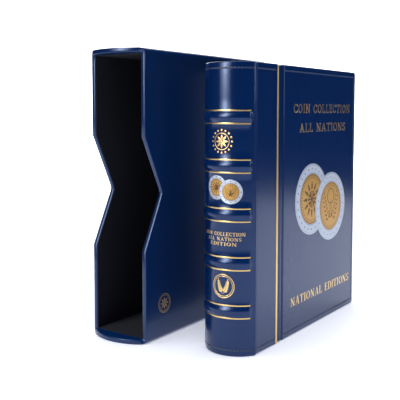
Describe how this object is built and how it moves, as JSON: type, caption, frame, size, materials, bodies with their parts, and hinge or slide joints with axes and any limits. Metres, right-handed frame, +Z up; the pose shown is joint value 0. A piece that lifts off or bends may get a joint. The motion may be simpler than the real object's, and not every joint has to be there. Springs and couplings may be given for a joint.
{
  "type": "coin album",
  "caption": "Upright ring-binder coin album with a curved ribbed spine, hinged covers and turning coin sheets, beside its notched slipcase.",
  "frame": {"origin": "under the spine: half-way across the album, in the middle of the curved spine wall, on the surface the album stands on", "axes": "+Z up along the spine, +X out of the front cover, -Y out of the spine, +Y towards the free edges of the covers"},
  "size_m": [0.176, 0.281, 0.296],
  "materials": {
    "album_leatherette": "glossy grained navy leatherette over board",
    "case_leatherette": "glossy grained navy leatherette over board",
    "endpaper": "matt dark blue endpaper",
    "case_lining": "matt near-black lining paper",
    "carrier_board": "matt dark blue covered board",
    "nickel_plate": "nickel-plated steel",
    "blade_steel": "plain rolled spring steel",
    "tray_plastic": "clear rigid film",
    "strip_plastic": "clear sliding strip",
    "gold_foil": "hot-stamped gold foil",
    "coin_print": "printed and embossed coin pictures in silver and gold",
    "sheet_card": "matt dark blue card"
  },
  "bodies": {
    "rear_cover": {"rear_cover_board": "album_leatherette", "rear_cover_lining": "endpaper"},
    "rear_strip": {"rear_strip_board": "album_leatherette", "rear_strip_lining": "endpaper"},
    "spine": {"spine_wall": "album_leatherette", "raised_bands": "album_leatherette", "ring_carrier_board": "carrier_board", "ring_plate": "nickel_plate", "plate_rivets": "nickel_plate"},
    "front_strip": {"front_strip_board": "album_leatherette", "front_strip_lining": "endpaper"},
    "front_cover": {"front_cover_board": "album_leatherette", "front_cover_lining": "endpaper"},
    "ring_right": {"ring_blade_right": "blade_steel", "half_rings_right": "nickel_plate"},
    "ring_left": {"ring_blade_left": "blade_steel", "half_rings_left": "nickel_plate"},
    "lever_top": {"lever_top": "nickel_plate"},
    "lever_bottom": {"lever_bottom": "nickel_plate"},
    "sheet_1": {"sheet_1_tray": "tray_plastic", "sheet_1_card": "sheet_card"},
    "sheet_1_strip_1": {"sheet_1_strip_1": "strip_plastic"},
    "sheet_1_strip_2": {"sheet_1_strip_2": "strip_plastic"},
    "sheet_1_strip_3": {"sheet_1_strip_3": "strip_plastic"},
    "sheet_1_strip_4": {"sheet_1_strip_4": "strip_plastic"},
    "sheet_1_strip_5": {"sheet_1_strip_5": "strip_plastic"},
    "sheet_2": {"sheet_2_tray": "tray_plastic", "sheet_2_card": "sheet_card"},
    "sheet_2_strip_1": {"sheet_2_strip_1": "strip_plastic"},
    "sheet_2_strip_2": {"sheet_2_strip_2": "strip_plastic"},
    "sheet_2_strip_3": {"sheet_2_strip_3": "strip_plastic"},
    "sheet_2_strip_4": {"sheet_2_strip_4": "strip_plastic"},
    "sheet_2_strip_5": {"sheet_2_strip_5": "strip_plastic"},
    "sheet_3": {"sheet_3_tray": "tray_plastic", "sheet_3_card": "sheet_card"},
    "sheet_3_strip_1": {"sheet_3_strip_1": "strip_plastic"},
    "sheet_3_strip_2": {"sheet_3_strip_2": "strip_plastic"},
    "sheet_3_strip_3": {"sheet_3_strip_3": "strip_plastic"},
    "sheet_3_strip_4": {"sheet_3_strip_4": "strip_plastic"},
    "sheet_3_strip_5": {"sheet_3_strip_5": "strip_plastic"},
    "sheet_4": {"sheet_4_tray": "tray_plastic", "sheet_4_card": "sheet_card"},
    "sheet_4_strip_1": {"sheet_4_strip_1": "strip_plastic"},
    "sheet_4_strip_2": {"sheet_4_strip_2": "strip_plastic"},
    "sheet_4_strip_3": {"sheet_4_strip_3": "strip_plastic"},
    "sheet_4_strip_4": {"sheet_4_strip_4": "strip_plastic"},
    "sheet_4_strip_5": {"sheet_4_strip_5": "strip_plastic"},
    "slipcase": {"case_right_wall": "case_leatherette", "case_left_wall": "case_leatherette", "case_top": "case_leatherette", "case_bottom": "case_leatherette", "case_back": "case_leatherette", "case_lining_right": "case_lining", "case_lining_left": "case_lining", "case_lining_top": "case_lining", "case_lining_bottom": "case_lining", "case_lining_back": "case_lining"}
  },
  "joints": [
    {"name": "rear_groove_hinge", "type": "hinge", "parent": "rear_cover", "child": "rear_strip", "pos_m": [-0.0257, 0.06385, 0.14], "axis": [0, 0, -1], "range_deg": [0, 55]},
    {"name": "rear_crease_hinge", "type": "hinge", "parent": "rear_strip", "child": "spine", "pos_m": [-0.0285, 0.01585, 0.14], "axis": [0, 0, -1], "range_deg": [0, 90]},
    {"name": "front_crease_hinge", "type": "hinge", "parent": "spine", "child": "front_strip", "pos_m": [0.0285, 0.01585, 0.14], "axis": [0, 0, -1], "range_deg": [0, 90]},
    {"name": "front_groove_hinge", "type": "hinge", "parent": "front_strip", "child": "front_cover", "pos_m": [0.0257, 0.06385, 0.14], "axis": [0, 0, -1], "range_deg": [0, 90]},
    {"name": "ring_open_right", "type": "hinge", "parent": "spine", "child": "ring_right", "pos_m": [0.011, 0.01105, 0.14], "axis": [0, 0, -1], "range_deg": [0, 6]},
    {"name": "ring_open_left", "type": "hinge", "parent": "spine", "child": "ring_left", "pos_m": [-0.011, 0.01105, 0.14], "axis": [0, 0, 1], "range_deg": [0, 6]},
    {"name": "lever_top_hinge", "type": "hinge", "parent": "spine", "child": "lever_top", "pos_m": [0, 0.01245, 0.2636], "axis": [1, 0, 0], "range_deg": [0, 24]},
    {"name": "lever_bottom_hinge", "type": "hinge", "parent": "spine", "child": "lever_bottom", "pos_m": [0, 0.01245, 0.0164], "axis": [-1, 0, 0], "range_deg": [0, 24]},
    {"name": "sheet_1_turn", "type": "hinge", "parent": "spine", "child": "sheet_1", "pos_m": [0, 0.03685, 0.14], "axis": [0, 0, 1], "range_deg": [0, 90]},
    {"name": "sheet_1_strip_1_slide", "type": "slide", "parent": "sheet_1", "child": "sheet_1_strip_1", "axis": [0, 1, 0], "range_m": [0, 0.16]},
    {"name": "sheet_1_strip_2_slide", "type": "slide", "parent": "sheet_1", "child": "sheet_1_strip_2", "axis": [0, 1, 0], "range_m": [0, 0.16]},
    {"name": "sheet_1_strip_3_slide", "type": "slide", "parent": "sheet_1", "child": "sheet_1_strip_3", "axis": [0, 1, 0], "range_m": [0, 0.16]},
    {"name": "sheet_1_strip_4_slide", "type": "slide", "parent": "sheet_1", "child": "sheet_1_strip_4", "axis": [0, 1, 0], "range_m": [0, 0.16]},
    {"name": "sheet_1_strip_5_slide", "type": "slide", "parent": "sheet_1", "child": "sheet_1_strip_5", "axis": [0, 1, 0], "range_m": [0, 0.16]},
    {"name": "sheet_2_turn", "type": "hinge", "parent": "spine", "child": "sheet_2", "pos_m": [0, 0.03685, 0.14], "axis": [0, 0, 1], "range_deg": [0, 90]},
    {"name": "sheet_2_strip_1_slide", "type": "slide", "parent": "sheet_2", "child": "sheet_2_strip_1", "axis": [0, 1, 0], "range_m": [0, 0.16]},
    {"name": "sheet_2_strip_2_slide", "type": "slide", "parent": "sheet_2", "child": "sheet_2_strip_2", "axis": [0, 1, 0], "range_m": [0, 0.16]},
    {"name": "sheet_2_strip_3_slide", "type": "slide", "parent": "sheet_2", "child": "sheet_2_strip_3", "axis": [0, 1, 0], "range_m": [0, 0.16]},
    {"name": "sheet_2_strip_4_slide", "type": "slide", "parent": "sheet_2", "child": "sheet_2_strip_4", "axis": [0, 1, 0], "range_m": [0, 0.16]},
    {"name": "sheet_2_strip_5_slide", "type": "slide", "parent": "sheet_2", "child": "sheet_2_strip_5", "axis": [0, 1, 0], "range_m": [0, 0.16]},
    {"name": "sheet_3_turn", "type": "hinge", "parent": "spine", "child": "sheet_3", "pos_m": [0, 0.03685, 0.14], "axis": [0, 0, -1], "range_deg": [0, 90]},
    {"name": "sheet_3_strip_1_slide", "type": "slide", "parent": "sheet_3", "child": "sheet_3_strip_1", "axis": [0, 1, 0], "range_m": [0, 0.16]},
    {"name": "sheet_3_strip_2_slide", "type": "slide", "parent": "sheet_3", "child": "sheet_3_strip_2", "axis": [0, 1, 0], "range_m": [0, 0.16]},
    {"name": "sheet_3_strip_3_slide", "type": "slide", "parent": "sheet_3", "child": "sheet_3_strip_3", "axis": [0, 1, 0], "range_m": [0, 0.16]},
    {"name": "sheet_3_strip_4_slide", "type": "slide", "parent": "sheet_3", "child": "sheet_3_strip_4", "axis": [0, 1, 0], "range_m": [0, 0.16]},
    {"name": "sheet_3_strip_5_slide", "type": "slide", "parent": "sheet_3", "child": "sheet_3_strip_5", "axis": [0, 1, 0], "range_m": [0, 0.16]},
    {"name": "sheet_4_turn", "type": "hinge", "parent": "spine", "child": "sheet_4", "pos_m": [0, 0.03685, 0.14], "axis": [0, 0, -1], "range_deg": [0, 90]},
    {"name": "sheet_4_strip_1_slide", "type": "slide", "parent": "sheet_4", "child": "sheet_4_strip_1", "axis": [0, 1, 0], "range_m": [0, 0.16]},
    {"name": "sheet_4_strip_2_slide", "type": "slide", "parent": "sheet_4", "child": "sheet_4_strip_2", "axis": [0, 1, 0], "range_m": [0, 0.16]},
    {"name": "sheet_4_strip_3_slide", "type": "slide", "parent": "sheet_4", "child": "sheet_4_strip_3", "axis": [0, 1, 0], "range_m": [0, 0.16]},
    {"name": "sheet_4_strip_4_slide", "type": "slide", "parent": "sheet_4", "child": "sheet_4_strip_4", "axis": [0, 1, 0], "range_m": [0, 0.16]},
    {"name": "sheet_4_strip_5_slide", "type": "slide", "parent": "sheet_4", "child": "sheet_4_strip_5", "axis": [0, 1, 0], "range_m": [0, 0.16]},
    {"name": "slipcase_slide", "type": "slide", "parent": "rear_cover", "child": "slipcase", "axis": [0, 1, 0], "range_m": [0, 0.285]}
  ],
  "couplings": [
    {"joint": "ring_open_left", "follows": "ring_open_right", "ratio": 1},
    {"joint": "lever_top_hinge", "follows": "ring_open_right", "ratio": 4},
    {"joint": "lever_bottom_hinge", "follows": "ring_open_right", "ratio": 4},
    {"joint": "sheet_1_turn", "follows": "rear_crease_hinge", "ratio": 1},
    {"joint": "sheet_2_turn", "follows": "rear_crease_hinge", "ratio": 1},
    {"joint": "sheet_3_turn", "follows": "front_crease_hinge", "ratio": 1},
    {"joint": "sheet_4_turn", "follows": "front_crease_hinge", "ratio": 1}
  ]
}
